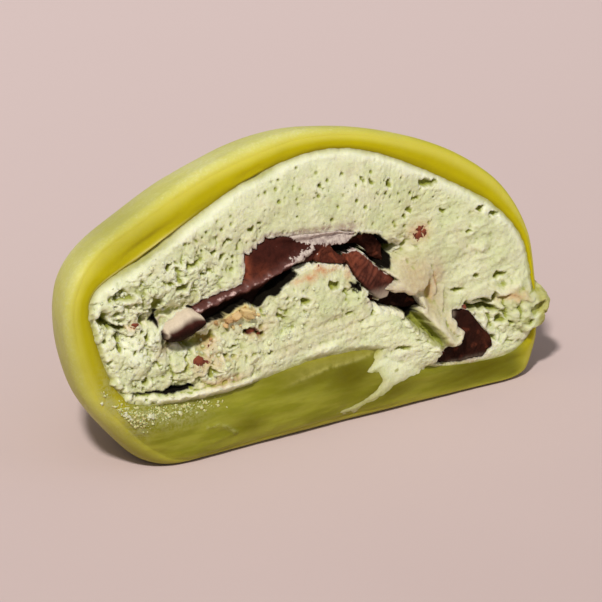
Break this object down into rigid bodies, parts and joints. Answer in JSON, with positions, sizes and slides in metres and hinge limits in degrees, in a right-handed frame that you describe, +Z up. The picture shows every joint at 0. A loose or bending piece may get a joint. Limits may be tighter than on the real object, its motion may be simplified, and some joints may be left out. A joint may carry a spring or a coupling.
{
  "type": "mochi rice cake half with cream filling",
  "caption": "Half of a soft green rice cake filled with pale green whipped cream and broken chocolate, its cut face leaning back above a flat base.",
  "frame": {"origin": "centre of the footprint, on the resting plane: the bottom centre of the bounding box", "axes": "+Z up; the cut face looks along -Y and leans back 15 degrees; +X runs along the cut face to its right-hand end"},
  "size_m": [0.0791, 0.0366, 0.0409],
  "materials": {
    "rice_skin": "soft translucent rice dough, matt with starch outside, moist where it is cut",
    "cream": "whipped cream with tea, matt and porous",
    "chocolate": "broken chocolate, dull with a grey bloom on the breaks and a soft sheen elsewhere"
  },
  "bodies": {
    "root": {"skin": "rice_skin", "cream": "cream", "choc_plate": "chocolate", "choc_shard": "chocolate", "choc_back": "chocolate", "choc_slab": "chocolate", "choc_lip": "chocolate", "choc_wedge": "chocolate", "choc_curl": "chocolate"}
  },
  "joints": []
}
